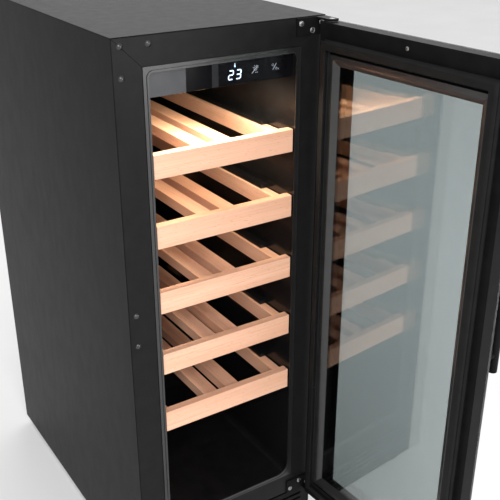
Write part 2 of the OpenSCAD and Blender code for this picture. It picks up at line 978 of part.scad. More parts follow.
// A strip of light-emitting dots behind a clear bar, let into the housing's underside.
module led_light_bar() {
    dots = 9;
    dot_pitch = 14;
    dot_r = 2.5;
    proud = 1;
    color("white")
        union() {
            span([-light_x + seam, light_y0 + seam, panel_z0 - proud],
                 [light_x - seam, light_y1 - seam, panel_z0 + 2]);
            for (k = [0 : dots - 1])
                translate([(k - (dots - 1) / 2) * dot_pitch, (light_y0 + light_y1) / 2, panel_z0 - 2 * proud])
                    cylinder(r = dot_r, h = 2 * proud);
        }
}

// ---- hinges ----

// Upright plate on the frame with a lug that carries the pin over or under the door.
module hinge_bracket(top) {
    z = lug_z(top);
    plate_z0 = top == 1 ? z + lug_t - bracket_h : z;
    difference() {
        union() {
            span([bracket_x1 - bracket_w, -bracket_t, plate_z0], [bracket_x1, 0, plate_z0 + bracket_h]);
            span([hinge_x - lug_r, hinge_y, z], [bracket_x1, 0, z + lug_t]);
            translate([hinge_x, hinge_y, z])
                intersection() {
                    cylinder(r = lug_r, h = lug_t);
                    span([-lug_r, -lug_r, -1], [bracket_x1 - hinge_x, lug_r, lug_t + 1]);
                }
        }
        translate([hinge_x, hinge_y, z - 1])
            cylinder(r = pin_r + bush_seat, h = lug_t + 2);
        for (p = hinge_screw_spots())
            rod_y(p[0], p[1], screw_r + screw_clear, -bracket_t - nudge, nudge);
    }
}

module hinge_brackets() {
    color(steel) {
        hinge_bracket(1);
        hinge_bracket(0);
    }
}

module hinge_pins() {
    color(bright) {
        translate([hinge_x, hinge_y, door_z1 - pin_l])
            cylinder(r = pin_r, h = pin_l + door_gap + lug_t);
        translate([hinge_x, hinge_y, lug_z(0)])
            cylinder(r = pin_r, h = lug_t + door_gap + pin_l);
    }
}

// Pan-head screws of the hinge brackets and of the rear vent cover.
module screws() {
    color(bright) {
        for (p = hinge_screw_spots())
            translate([p[0], -bracket_t, p[1]])
                screw(screw_head_r, screw_head_h, screw_r, screw_l);
        for (p = rear_screw_spots())
            translate([p[0], cabinet_d, p[1]])
                rotate([0, 0, 180])
                    screw(screw_head_r, screw_head_h, screw_r, screw_l);
    }
}

// ---- machine bay ----

// Places its children at the compressor's four mounts.
module mount_spots() {
    for (sx = [-1, 1])
        for (sy = [-1, 1])
            translate([bay_cx + sx * mount_x, compressor_y + sy * mount_y, 0])
                children();
}

module compressor() {
    r = compressor_dia / 2;
    edge = 26;
    foot_t = 3;
    foot_x = mount_x + 12;
    foot_y = mount_y + 12;
    box_x = 25;
    box_y0 = compressor_y - r - 8;
    box_y1 = compressor_y - r + 14;
    box_z0 = shell_z0 + 50;
    box_z1 = shell_z0 + 95;
    color(plastic)
        union() {
            translate([bay_cx, compressor_y, shell_z0])
                rotate_extrude()
                    shell_outline(r, edge);
            difference() {
                span([bay_cx - foot_x, compressor_y - foot_y, shell_z0 - foot_t],
                     [bay_cx + foot_x, compressor_y + foot_y, shell_z0 + 1]);
                mount_spots()
                    cylinder(r = mount_bolt_r + screw_clear, h = shell_z0 + 2);
            }
            span([bay_cx - box_x, box_y0, box_z0], [bay_cx + box_x, box_y1, box_z1]);
        }
}

// Half of the compressor shell's section, with its rounded ends.
module shell_outline(r, edge) {
    square([r - edge, compressor_h]);
    translate([0, edge])
        square([r, compressor_h - 2 * edge]);
    for (z = [edge, compressor_h - edge])
        intersection() {
            translate([r - edge, z])
                circle(edge);
            square([r, compressor_h]);
        }
}

// Rubber sleeves with their bolts' heads, under the compressor's feet.
module compressor_mounts() {
    bolt_l = mount_h + 12;
    color(rubber)
        mount_spots() {
            translate([0, 0, pan_z1])
                cylinder(r = mount_r, h = mount_h);
            translate([0, 0, base_z - 2])
                cylinder(r = mount_bolt_r, h = bolt_l);
        }
}

// Upright fins on two rows of level tubes.
module condenser() {
    fins = 13;
    fin_t = 1;
    fin_pitch = (condenser_w - fin_t) / (fins - 1);
    rows = 4;
    tube_r = 2.5;
    tube_inset = 9;
    tube_margin = 16;
    tube_pitch = (condenser_h - 2 * tube_margin) / (rows - 1);
    color(copper)
        union() {
            for (k = [0 : fins - 1])
                span([condenser_x0 + k * fin_pitch, condenser_y, pan_z1],
                     [condenser_x0 + k * fin_pitch + fin_t, condenser_y + condenser_d, pan_z1 + condenser_h]);
            for (y = [tube_inset, condenser_d - tube_inset])
                for (k = [0 : rows - 1])
                    translate([condenser_x0, condenser_y + y, pan_z1 + tube_margin + k * tube_pitch])
                        rotate([0, 90, 0])
                            cylinder(r = tube_r, h = condenser_w);
        }
}

// Shallow tray that rests on the compressor, where its warmth dries up the thaw water.
module drip_tray() {
    x = 50;
    y = 45;
    tray_h = 16;
    wall = 1.5;
    z0 = shell_z0 + compressor_h + 0.1;
    color(plastic)
        difference() {
            span([bay_cx - x, compressor_y - y, z0], [bay_cx + x, compressor_y + y, z0 + tray_h]);
            span([bay_cx - x + wall, compressor_y - y + wall, z0 + wall],
                 [bay_cx + x - wall, compressor_y + y - wall, z0 + tray_h + nudge]);
        }
}

// X of the compressor shell's left side, where a pipe whose nearest edge is dy from mid-depth meets it.
function shell_touch(dy) = bay_cx - sqrt(pow(compressor_dia / 2, 2) - dy * dy) - 0.05;

// Suction, discharge and liquid lines, with the filter drier brazed into the liquid line.
module refrigerant_pipes() {
    exit_z = shell_z0 + 60;
    suction_z1 = bay_top + 20;
    discharge_z = exit_z - 30;
    discharge_r = 2.4;
    discharge_y = compressor_y - 14;
    discharge_end = [condenser_x1, condenser_y + 9, discharge_z];
    liquid_r = 2;
    liquid_z = condenser_h;
    liquid_start = [condenser_x1, condenser_y + 27, liquid_z];
    liquid_out = 13;
    cap_r = 2.4;
    cap_h = 8;
    color(copper)
        union() {
            pipe([[shell_touch(0), compressor_y, exit_z], [suction_x, compressor_y, exit_z],
                  [suction_x, suction_y, exit_z], [suction_x, suction_y, suction_z1]], pipe_r);
            pipe([[shell_touch(compressor_y - discharge_y - discharge_r), discharge_y, discharge_z],
                  [condenser_x1 + 6, discharge_y, discharge_z],
                  [condenser_x1 + 6, discharge_end[1], discharge_z], discharge_end], discharge_r);
            pipe([liquid_start, liquid_start + [liquid_out, 0, 0],
                  [condenser_x1 + liquid_out, drier_y, liquid_z], [drier_x, drier_y, liquid_z],
                  [drier_x, drier_y, drier_z + drier_l + cap_h]], liquid_r);
            translate([drier_x, drier_y, drier_z])
                rotate_extrude()
                    polygon([[0, -cap_h], [cap_r, -cap_h], [drier_r, 0], [drier_r, drier_l],
                             [cap_r, drier_l + cap_h], [0, drier_l + cap_h]]);
        }
}

module control_box() {
    low = [-side_x + 6, back_y - 70, bay_top - 56];
    size = [100, 44, 56];
    color(plastic)
        span(low, low + size);
}

// Outer shape of the mains inlet, grown by g for the hole that it sits in.
module inlet_body(g) {
    span([inlet_x - inlet_w / 2 - g, back_y - inlet_d, inlet_z - inlet_h / 2 - g],
         [inlet_x + inlet_w / 2 + g, back_y + nudge, inlet_z + inlet_h / 2 + g]);
}

// Three-pin mains inlet with a flange on the vent cover's outer face.
module power_inlet() {
    wall = 2;
    flange = 4;
    socket_d = 15;
    pin = [2, 13, 4];
    pin_x = 7;
    pin_z = 2;
    w = inlet_w / 2;
    h = inlet_h / 2;
    color(plastic)
        union() {
            difference() {
                union() {
                    inlet_body(0);
                    span([inlet_x - w - flange, back_y, inlet_z - h - flange],
                         [inlet_x + w + flange, back_y + 1, inlet_z + h + flange]);
                }
                span([inlet_x - w + wall, back_y - socket_d, inlet_z - h + wall],
                     [inlet_x + w - wall, cabinet_d + nudge, inlet_z + h - wall]);
            }
            for (k = [-1 : 1])
                translate([inlet_x + k * pin_x - pin[0] / 2, back_y - socket_d - nudge,
                           inlet_z + (k == 0 ? pin_z : -pin_z) - pin[2] / 2])
                    cube(pin);
        }
}

// Plastic grille under the front frame, hollow behind its face.
module kick_grille() {
    x = side_x - seam;
    y0 = 1;
    y1 = 11.5;
    z1 = frame_z0 - 4;
    z0 = base_z + 1;
    face_t = 3;
    wall = 2;
    slots = 5;
    slot_h = 4;
    slot_end = 14;
    web = 8;
    rim = 9;
    pitch = (z1 - z0 - 2 * rim - slot_h) / (slots - 1);
    color(plastic)
        difference() {
            span([-x, y0, z0], [x, y1, z1]);
            span([-x + wall, y0 + face_t, z0 + wall], [x - wall, y1 + nudge, z1 - wall]);
            for (k = [0 : slots - 1])
                for (side = [0, 1])
                    mirror([side, 0, 0])
                        span([web / 2, y0 - nudge, z0 + rim + k * pitch],
                             [x - slot_end, y0 + face_t + nudge, z0 + rim + k * pitch + slot_h]);
        }
}

// ---- feet ----

module foot(side, back, stem_l) {
    spot = foot_spot(side, back);
    rim = 4;
    translate([spot[0], spot[1], 0]) {
        cylinder(r = foot_r, h = foot_base_h);
        translate([0, 0, foot_base_h])
            cylinder(r1 = foot_r, r2 = foot_r - rim, h = foot_disc_h - foot_base_h);
        translate([0, 0, foot_disc_h - 1])
            cylinder(r = foot_stem_r, h = stem_l + 1);
    }
}

module foot_front_left() {
    color(rubber)
        foot(-1, 0, foot_stem_l);
}

module foot_front_right() {
    color(rubber)
        foot(1, 0, foot_stem_l);
}

module rear_feet() {
    stem_l = 14;
    collar_r = 8;
    color(rubber)
        for (side = [-1, 1]) {
            foot(side, 1, stem_l);
            translate([foot_spot(side, 1)[0], foot_spot(side, 1)[1], foot_disc_h - 1])
                cylinder(r = collar_r, h = base_z - foot_disc_h + 1);
        }
}

// ---- door, modelled shut ----

module door_frame() {
    front = door_front + glass_t;
    color(steel)
        on_door()
            difference() {
                flat_frame(door_frame_w, window_extra_z, front, door_back);
                for (top = [false, true])
                    mirror_from(top)
                        translate([hinge_x, hinge_y, -nudge])
                            cylinder(r = bush_r + bush_seat, h = bush_l + nudge);
            }
}

// Puts a piece that grows up from z = 0 at the door's bottom, or turned over at its top.
module mirror_from(top) {
    translate([0, 0, top ? door_z1 : door_z0])
        mirror([0, 0, top ? 1 : 0])
            children();
}

// A rectangular ring as large as the door, with deeper top and bottom borders.
module flat_frame(border, extra_z, y0, y1) {
    difference() {
        span([-half_w, y0, door_z0], [half_w, y1, door_z1]);
        span([-half_w + border, y0 - nudge, door_z0 + border + extra_z],
             [half_w - border, y1 + nudge, door_z1 - border - extra_z]);
    }
}

module door_glass_outer() {
    color("#222628", 0.5)
        on_door()
            span([-half_w, door_front, door_z0], [half_w, door_front + glass_t, door_z1]);
}

module door_glass_inner() {
    e = pane_edge;
    color("#8a9694", 0.4)
        on_door()
            span([-half_w + e, pane_back - glass_t, door_z0 + e + window_extra_z],
                 [half_w - e, pane_back, door_z1 - e - window_extra_z]);
}

module glass_spacer() {
    spacer_w = 7;
    e = pane_edge + 1;
    z_in = e + window_extra_z;
    color(plastic)
        on_door()
            difference() {
                span([-half_w + e, door_front + glass_t, door_z0 + z_in],
                     [half_w - e, pane_back - glass_t, door_z1 - z_in]);
                span([-half_w + e + spacer_w, door_front, door_z0 + z_in + spacer_w],
                     [half_w - e - spacer_w, door_back, door_z1 - z_in - spacer_w]);
            }
}

// Inner frame: a flat band on the door's back, then a bevel down to the inner pane.
module glazing_frame() {
    lap = 23.3;
    rise = 4;
    bevel = 7.8;
    color(plastic)
        on_door()
            mitred_ring(door_w, door_z0, door_z1, window_inset, window_extra_z)
                polygon([
                    [lap, door_back], [lap, door_back + rise], [window_inset - bevel, door_back + rise],
                    [window_inset, pane_back + 0.6], [window_inset, pane_back],
                    [door_frame_w, pane_back], [door_frame_w, door_back]
                ]);
}

// Magnetic gasket: a foot, a waist that folds and a sealing face. The face's outer side leans
// inwards, so that it closes beside the frame's plugs.
module door_gasket() {
    a = gasket_inset;
    b = gasket_inset + gasket_w;
    y0 = door_back;
    y1 = -gasket_gap;
    foot_y = y0 + 2.4;
    waist_y = y0 + 4.2;
    lip_y = y1 - 3.4;
    edge_y = y1 - 2.4;
    waist = 2.2;
    lip = 1.2;
    lean = 3.6;
    color(rubber)
        on_door()
            mitred_ring(door_w, door_z0, door_z1, b, gasket_extra_z)
                polygon([
                    [a, y0], [b, y0], [b, foot_y], [b - waist, waist_y], [b - lip, lip_y], [b, edge_y],
                    [b, y1], [a + lean, y1], [a, edge_y], [a + lip, lip_y], [a + waist, waist_y], [a, foot_y]
                ]);
}

// Round bar on two posts, at the edge away from the hinges.
module door_handle() {
    bar_y = door_front - handle_reach - handle_dia / 2;
    color(steel)
        on_door()
            union() {
                translate([handle_x, bar_y, handle_z - handle_l / 2])
                    cylinder(r = handle_dia / 2, h = handle_l);
                for (s = [-1, 1])
                    rod_y(handle_x, handle_z + s * (handle_l / 2 - handle_post_inset), handle_post_r,
                          bar_y, door_front);
            }
}

module hinge_bushes() {
    color("#d8d8d4")
        on_door()
            for (top = [false, true])
                mirror_from(top)
                    translate([hinge_x, hinge_y, 0])
                        difference() {
                            cylinder(r = bush_r, h = bush_l - bush_seat);
                            translate([0, 0, -1])
                                cylinder(r = bush_bore, h = bush_l + 2);
                        }
}

// ---- shelves ----

module shelf_front(i) {
    color(beech)
        span([-fascia_x, fascia_y, shelf_low(i)], [fascia_x, shelf_y0, shelf_top(i)]);
}

// Two side rails with hidden stop grooves, two middle rails and the back bar.
module shelf_rails(i) {
    z0 = shelf_low(i);
    gap = seam / 2;
    bar_y = shelf_y1 - back_bar_t;
    groove_x = fascia_x - rail_w / 2;
    groove_w = stop_w + 2 * groove_clear;
    groove_y1 = stop_y + stop_l + shelf_travel + groove_clear;
    mid_z1 = z0 + rail_h - 1;
    color(beech)
        union() {
            for (side = [-1, 1])
                mirror([side > 0 ? 0 : 1, 0, 0]) {
                    difference() {
                        span([fascia_x - rail_w, shelf_y0, z0], [fascia_x, bar_y - gap, z0 + rail_h]);
                        span([groove_x - groove_w / 2, stop_y - groove_clear, z0 - nudge],
                             [groove_x + groove_w / 2, groove_y1, z0 + stop_h + groove_clear]);
                    }
                    span([mid_gap / 2, shelf_y0, mid_z1 - mid_rail_h],
                         [mid_gap / 2 + mid_rail_w, bar_y - gap, mid_z1]);
                }
            span([-fascia_x, bar_y, z0], [fascia_x, shelf_y1, z0 + rail_h]);
        }
}

module shelf_1_front() { shelf_front(1); }
module shelf_1_rails() { shelf_rails(1); }
module shelf_2_front() { shelf_front(2); }
module shelf_2_rails() { shelf_rails(2); }
module shelf_3_front() { shelf_front(3); }
module shelf_3_rails() { shelf_rails(3); }
module shelf_4_front() { shelf_front(4); }
module shelf_4_rails() { shelf_rails(4); }
module shelf_5_front() { shelf_front(5); }
module shelf_5_rails() { shelf_rails(5); }

// ---- the assembly ----

side_panel_left();
side_panel_right();
top_panel();
back_panel();
rear_vent_cover();
base_pan();
bay_partition();
frame_stile_left();
frame_stile_right();
frame_rail_top();
frame_rail_bottom();
opening_trim();
inner_liner();
shelf_guides_left();
shelf_guides_right();
insulation();
hole_plugs();
kick_grille();
control_housing();
control_window();
control_blank();
led_light_bar();
duct_cover();
evaporator();
cabin_fan_frame();
cabin_fan_rotor();
temperature_sensor();
hinge_brackets();
hinge_pins();
screws();
compressor();
compressor_mounts();
condenser();
bay_fan_frame();
bay_fan_rotor();
drip_tray();
refrigerant_pipes();
control_box();
power_inlet();
foot_front_left();
foot_front_right();
rear_feet();
door_frame();
door_glass_outer();
door_glass_inner();
glass_spacer();
glazing_frame();
door_gasket();
door_handle();
hinge_bushes();
shelf_1_front();
shelf_1_rails();
shelf_2_front();
shelf_2_rails();
shelf_3_front();
shelf_3_rails();
shelf_4_front();
shelf_4_rails();
shelf_5_front();
shelf_5_rails();
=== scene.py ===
import json
import math

import bmesh
import bpy
from mathutils import Matrix, Vector


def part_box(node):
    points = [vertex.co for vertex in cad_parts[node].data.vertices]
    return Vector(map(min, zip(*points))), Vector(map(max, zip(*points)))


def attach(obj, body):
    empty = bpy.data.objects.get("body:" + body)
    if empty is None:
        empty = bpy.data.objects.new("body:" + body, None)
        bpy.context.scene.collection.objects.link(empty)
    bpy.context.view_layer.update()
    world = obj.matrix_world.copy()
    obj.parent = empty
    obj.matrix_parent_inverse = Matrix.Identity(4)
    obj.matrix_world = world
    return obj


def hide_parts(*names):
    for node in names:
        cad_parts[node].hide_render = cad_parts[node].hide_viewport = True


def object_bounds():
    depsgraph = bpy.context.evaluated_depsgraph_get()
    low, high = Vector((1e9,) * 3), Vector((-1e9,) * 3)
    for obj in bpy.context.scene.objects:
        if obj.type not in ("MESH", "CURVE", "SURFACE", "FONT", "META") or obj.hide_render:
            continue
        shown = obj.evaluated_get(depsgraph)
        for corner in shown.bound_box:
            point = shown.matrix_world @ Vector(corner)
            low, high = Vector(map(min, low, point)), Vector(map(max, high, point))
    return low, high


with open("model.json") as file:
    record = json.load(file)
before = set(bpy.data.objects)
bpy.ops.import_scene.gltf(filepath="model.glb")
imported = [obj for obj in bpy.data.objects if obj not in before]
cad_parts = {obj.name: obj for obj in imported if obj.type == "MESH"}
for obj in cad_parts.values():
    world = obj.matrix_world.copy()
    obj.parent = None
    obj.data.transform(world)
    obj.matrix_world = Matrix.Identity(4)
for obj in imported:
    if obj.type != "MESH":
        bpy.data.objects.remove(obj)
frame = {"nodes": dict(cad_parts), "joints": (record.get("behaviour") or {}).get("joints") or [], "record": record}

MM = 0.001
SAME_PLACE = 2e-6  # metres: corners closer than this are one
SMOOTH_UP_TO = math.radians(35)  # edges with a smaller angle are shaded smooth
SHELVES = range(1, 6)

# What Blender starts with isn't part of the object.
for name in ("Cube", "Light", "Camera"):
    if name in bpy.data.objects:
        bpy.data.objects.remove(bpy.data.objects[name])
cad_box = [list(corner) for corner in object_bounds()]

nodes = frame["nodes"]
slot_of = {part["node"]: part["material_slot"] for part in frame["record"]["subparts"]}


# ---- materials ----

class Look:
    """A Principled material and short calls that build its nodes."""

    def __init__(self, name, colour, roughness, **sockets):
        self.material = bpy.data.materials.new(name)
        self.material.use_nodes = True
        self.tree = self.material.node_tree
        self.shader = self.tree.nodes["Principled BSDF"]
        self.set("Base Color", (*colour, 1))
        self.set("Roughness", roughness)
        for socket, value in sockets.items():
            self.set(socket.replace("_", " "), value)

    def set(self, socket, value):
        if isinstance(value, bpy.types.NodeSocket):
            self.tree.links.new(value, self.shader.inputs[socket])
        else:
            self.shader.inputs[socket].default_value = value

    def node(self, kind, **settings):
        made = self.tree.nodes.new("ShaderNode" + kind)
        for key, value in settings.items():
            setattr(made, key, value)
        return made

    def link(self, source, node, socket):
        self.tree.links.new(source, node.inputs[socket])

    def place(self, stretch=(1, 1, 1)):
        """The piece's own coordinates in metres, each axis multiplied by stretch."""
        where = self.node("TexCoord").outputs["Object"]
        mapping = self.node("Mapping")
        mapping.inputs["Scale"].default_value = stretch
        self.link(where, mapping, "Vector")
        return mapping.outputs["Vector"]

    def noise(self, vector, scale, detail=2.0, distortion=0.0):
        made = self.node("TexNoise")
        made.inputs["Scale"].default_value = scale
        made.inputs["Detail"].default_value = detail
        made.inputs["Distortion"].default_value = distortion
        self.link(vector, made, "Vector")
        return made.outputs["Fac"]

    def cells(self, vector, scale, output="Distance"):
        made = self.node("TexVoronoi")
        made.inputs["Scale"].default_value = scale
        self.link(vector, made, "Vector")
        return made.outputs[output]

    def spread(self, value, low, high, start=0.3, end=0.7):
        """value taken from start..end to low..high."""
        made = self.node("MapRange")
        limits = {"From Min": start, "From Max": end, "To Min": low, "To Max": high}
        for socket, number in limits.items():
            made.inputs[socket].default_value = number
        self.link(value, made, "Value")
        return made.outputs["Result"]

    def blend(self, value, first, second, start=0.3, end=0.7):
        """A colour between two, by value from start to end. Either may be a socket."""
        made = self.node("Mix", data_type="RGBA")
        self.link(self.spread(value, 0, 1, start, end), made, "Factor")
        colour_a, colour_b = 6, 7  # the node's inputs and output that carry colours
        for socket, colour in ((colour_a, first), (colour_b, second)):
            if isinstance(colour, bpy.types.NodeSocket):
                self.tree.links.new(colour, made.inputs[socket])
            else:
                made.inputs[socket].default_value = (*colour, 1)
        return made.outputs[2]

    def bump(self, height, depth):
        """Relief whose full height is depth metres, on top of any that is there already."""
        made = self.node("Bump")
        made.inputs["Strength"].default_value = 1.0
        made.inputs["Distance"].default_value = depth
        self.link(height, made, "Height")
        before = self.shader.inputs["Normal"].links
        if before:
            self.link(before[0].from_socket, made, "Normal")
        self.set("Normal", made.outputs["Normal"])


def coated(name, dark, light, roughness, grain, depth, index=1.5):
    """A moulded, painted or powder-coated surface: fine relief, uneven tone and faint smears."""
    look = Look(name, light, roughness, IOR=index)
    where = look.place()
    tone = look.noise(where, scale=60, detail=5)
    look.set("Base Color", look.blend(tone, dark, light))
    smears = look.noise(look.place(stretch=(1, 1, 0.35)), scale=70, detail=5)
    look.set("Roughness", look.spread(smears, low=roughness - 0.02, high=roughness + 0.03))
    look.bump(look.noise(where, grain), depth)
    return look.material


def brushed(name, dark, light, roughness, along, depth):
    """Rolled or drawn metal, with fine lines along one axis."""
    across_lines, along_lines = 260, 6
    look = Look(name, light, roughness, Metallic=1.0)
    stretch = [across_lines] * 3
    stretch[along] = along_lines
    lines = look.noise(look.place(stretch), scale=4, detail=4)
    tone = look.noise(look.place(), scale=25, detail=4)
    look.set("Base Color", look.blend(tone, dark, light))
    look.set("Roughness", look.spread(lines, low=roughness - 0.08, high=roughness + 0.1))
    look.bump(lines, depth)
    return look.material


def galvanised():
    look = Look("galvanised_steel", (0.5, 0.52, 0.54), 0.4, Metallic=1.0)
    where = look.place()
    spangle = look.cells(where, 90, "Color")
    dark, light = (0.36, 0.38, 0.40), (0.58, 0.59, 0.61)
    look.set("Base Color", look.blend(spangle, dark, light, start=0.2, end=0.8))
    look.set("Roughness", look.spread(spangle, low=0.32, high=0.5, start=0.2, end=0.8))
    look.bump(look.noise(where, scale=500, detail=3), depth=0.03 * MM)
    return look.material


def foam():
    look = Look("foam", (0.80, 0.72, 0.48), 0.9)
    where = look.place()
    dark, light = (0.68, 0.56, 0.32), (0.85, 0.78, 0.55)
    look.set("Base Color", look.blend(look.noise(where, scale=30, detail=4), dark, light))
    look.bump(look.cells(where, 700), depth=0.6 * MM)
    return look.material


def beech(name, along):
    """Beech with its grain along one axis: soft bands, fine fibres and short dark flecks."""
    look = Look(name, (0.78, 0.45, 0.30), 0.45)

    def grain(across, lengthwise):
        stretch = [across] * 3
        stretch[along] = lengthwise
        return look.place(stretch)

    bands = look.noise(grain(38, 2.2), scale=1, detail=4, distortion=0.6)
    fibres = look.noise(grain(900, 14), scale=1, detail=3)
    flecks = look.cells(grain(560, 70), scale=1)
    band_dark, band_light = (0.73, 0.395, 0.255), (0.83, 0.50, 0.345)
    fibre_dark, fleck_dark = (0.70, 0.37, 0.235), (0.50, 0.235, 0.135)
    wood = look.blend(bands, band_dark, band_light, start=0.35, end=0.68)
    wood = look.blend(fibres, fibre_dark, wood, start=0.3, end=0.48)
    look.set("Base Color", look.blend(flecks, fleck_dark, wood, start=0.04, end=0.2))
    look.set("Roughness", look.spread(fibres, low=0.56, high=0.42))
    look.bump(fibres, depth=0.12 * MM)
    return look.material


def glass(name, tint):
    """Clear or tinted glass with faint smears."""
    look = Look(name, tint, 0.0, Transmission_Weight=1.0, IOR=1.5)
    smears = look.noise(look.place(stretch=(1, 1, 0.4)), scale=9, detail=5)
    look.set("Roughness", look.spread(smears, low=0.0, high=0.03))
    return look.material


def diffuser():
    """A clear bar over a row of light dots."""
    dot_pitch = 14 * MM
    between_dots, in_a_dot = 1.5, 14
    look = Look("clear_diffuser", (0.9, 0.92, 0.95), 0.3)
    split = look.node("SeparateXYZ")
    look.link(look.place(stretch=(2 * math.pi / dot_pitch, 1, 1)), split, "Vector")
    wave = look.node("Math", operation="COSINE")
    look.link(split.outputs["X"], wave, 0)
    look.set("Emission Color", (1.0, 0.93, 0.80, 1))
    glow = look.spread(wave.outputs[0], between_dots, in_a_dot, start=0.2, end=1.0)
    look.set("Emission Strength", glow)
    look.bump(look.noise(look.place(), scale=400), depth=0.05 * MM)
    return look.material


def lit(name, colour, strength):
    """A printed mark with light behind it."""
    look = Look(name, colour, 0.4)
    where = look.place()
    look.set("Emission Color", (*colour, 1))
    glow = look.spread(look.noise(where, scale=300), low=strength * 0.9, high=strength)
    look.set("Emission Strength", glow)
    look.bump(look.noise(where, scale=900), depth=0.01 * MM)
    return look.material


COATINGS = {
    # dark tone, light tone, roughness, grain scale, relief in metres, index of refraction.
    # The low indexes keep the white floor from mirroring too strongly. A real coating has 1.5.
    "black_steel": ((0.006, 0.006, 0.0062), (0.0085, 0.0085, 0.0088), 0.34, 650, 4e-5, 1.11),
    # The front frame's copy of black_steel: lighter and more reflective, a painted sheen where light falls on the
    # front.
    "front_steel_painted_sheen": ((0.007, 0.007, 0.0072), (0.010, 0.010, 0.0104), 0.38, 650, 4e-5, 1.2),
    "gloss_liner": ((0.005, 0.005, 0.005), (0.008, 0.008, 0.009), 0.2, 180, 2e-5, 1.35),
    "black_plastic": ((0.005, 0.005, 0.0055), (0.008, 0.008, 0.0085), 0.36, 1300, 4e-5, 1.14),
    "grey_plastic": ((0.03, 0.031, 0.035), (0.042, 0.043, 0.047), 0.4, 1500, 5e-5, 1.5),
    "black_enamel": ((0.008, 0.008, 0.009), (0.014, 0.014, 0.015), 0.28, 320, 6e-5, 1.5),
    "rubber": ((0.007, 0.007, 0.007), (0.010, 0.010, 0.010), 0.55, 1100, 6e-5, 1.2),
    "nylon": ((0.70, 0.70, 0.67), (0.82, 0.82, 0.79), 0.45, 900, 4e-5, 1.5),
    # A lighter, glossier copy of the black plastics for the opening trim and plugs: painted highlight.
    "trim_plastic_painted_highlight": ((0.009, 0.009, 0.009), (0.013, 0.013, 0.014), 0.3, 500, 2e-5, 1.6),
    # A lighter copy of black_plastic for the glazing frame: a painted highlight on its bevel.
    "glazing_plastic_painted_highlight": ((0.012, 0.012, 0.012), (0.018, 0.018, 0.018), 0.3, 900, 2e-5, 1.55),
    "window_black": ((0.003, 0.003, 0.0035), (0.004, 0.004, 0.005), 0.14, 400, 5e-6, 1.2),
    "strip_grey": ((0.008, 0.008, 0.0095), (0.011, 0.011, 0.0125), 0.3, 900, 1e-5, 1.3),
    "black_print": ((0.004, 0.004, 0.004), (0.006, 0.006, 0.006), 0.3, 700, 1e-5, 1.5),
}
METALS = {
    # dark tone, light tone, roughness, axis that the lines run along, relief in metres
    "aluminium": ((0.62, 0.63, 0.65), (0.78, 0.79, 0.80), 0.34, 0, 2e-5),
    "copper": ((0.50, 0.22, 0.12), (0.78, 0.42, 0.26), 0.3, 2, 2e-5),
    "steel_screw": ((0.30, 0.30, 0.31), (0.42, 0.42, 0.43), 0.3, 0, 1e-5),
}
LOOKS = {
    **{name: coated(name, *row) for name, row in COATINGS.items()},
    **{name: brushed(name, *row) for name, row in METALS.items()},
    "galvanised_steel": galvanised(),
    "foam": foam(),
    "clear_diffuser": diffuser(),
    "tinted_glass": glass("tinted_glass", (0.32, 0.355, 0.36)),
    "clear_glass": glass("clear_glass", (0.86, 0.90, 0.89)),
    "beech": beech("beech", along=0),
    "beech_rails": beech("beech_rails", along=1),
    "mark_grey": lit("mark_grey", (0.42, 0.46, 0.52), 0.3),
    "mark_white": lit("mark_white", (0.62, 0.78, 1.0), 1.5),
}

FRAME_MEMBERS = ("frame_stile_left", "frame_stile_right", "frame_rail_top", "frame_rail_bottom")
# Nodes whose look isn't the one named like their material slot.
LOOK_OF = {
    "door_glass_inner": "clear_glass",
    # The trim and plugs get the lighter plastic: painted highlight.
    "opening_trim": "trim_plastic_painted_highlight",
    "hole_plugs": "trim_plastic_painted_highlight",
    # The glazing frame gets the lighter plastic: painted highlight on its bevel.
    "glazing_frame": "glazing_plastic_painted_highlight",
    "control_window": "window_black",
    # The frame members get the lighter copy of the steel: painted sheen.
    **{name: "front_steel_painted_sheen" for name in FRAME_MEMBERS},
    **{f"shelf_{i}_rails": "beech_rails" for i in SHELVES},
}

for name, piece in nodes.items():
    material = LOOKS[LOOK_OF.get(name, slot_of[name])]
    for index in range(len(piece.material_slots)):
        piece.material_slots[index].material = material


# ---- rounded edges on the CAD pieces ----

def smoothing_group():
    """Joins the faces' split corners and shades them smooth across shallow edges."""
    group = bpy.data.node_groups.new("joined_smooth", "GeometryNodeTree")
    group.interface.new_socket("Geometry", in_out="INPUT", socket_type="NodeSocketGeometry")
    group.interface.new_socket("Geometry", in_out="OUTPUT", socket_type="NodeSocketGeometry")
    source, drain = group.nodes.new("NodeGroupInput"), group.nodes.new("NodeGroupOutput")
    merge = group.nodes.new("GeometryNodeMergeByDistance")
    merge.inputs["Distance"].default_value = SAME_PLACE
    clear = group.nodes.new("GeometryNodeSetMeshNormal")
    clear.mode = "SHARPNESS"
    clear.inputs["Remove Custom"].default_value = True
    clear.inputs["Face Sharpness"].default_value = False
    angle = group.nodes.new("GeometryNodeInputMeshEdgeAngle")
    sharp = group.nodes.new("FunctionNodeCompare")
    sharp.inputs["B"].default_value = SMOOTH_UP_TO
    group.links.new(angle.outputs["Unsigned Angle"], sharp.inputs["A"])
    group.links.new(sharp.outputs["Result"], clear.inputs["Edge Sharpness"])
    group.links.new(source.outputs[0], merge.inputs["Geometry"])
    group.links.new(merge.outputs["Geometry"], clear.inputs["Mesh"])
    group.links.new(clear.outputs["Mesh"], drain.inputs[0])
    return group


SMOOTHING = smoothing_group()
FLAT_WITHIN = math.radians(0.5)
ROUNDED_ABOVE = math.radians(40)
BEVEL_STEPS = 3

# Faces that ring an opening keep their triangles. Joined into one, they shade wrongly.
RINGS = ("opening_trim", "door_gasket", "door_frame", "glazing_frame", "rear_vent_cover",
         "control_housing")


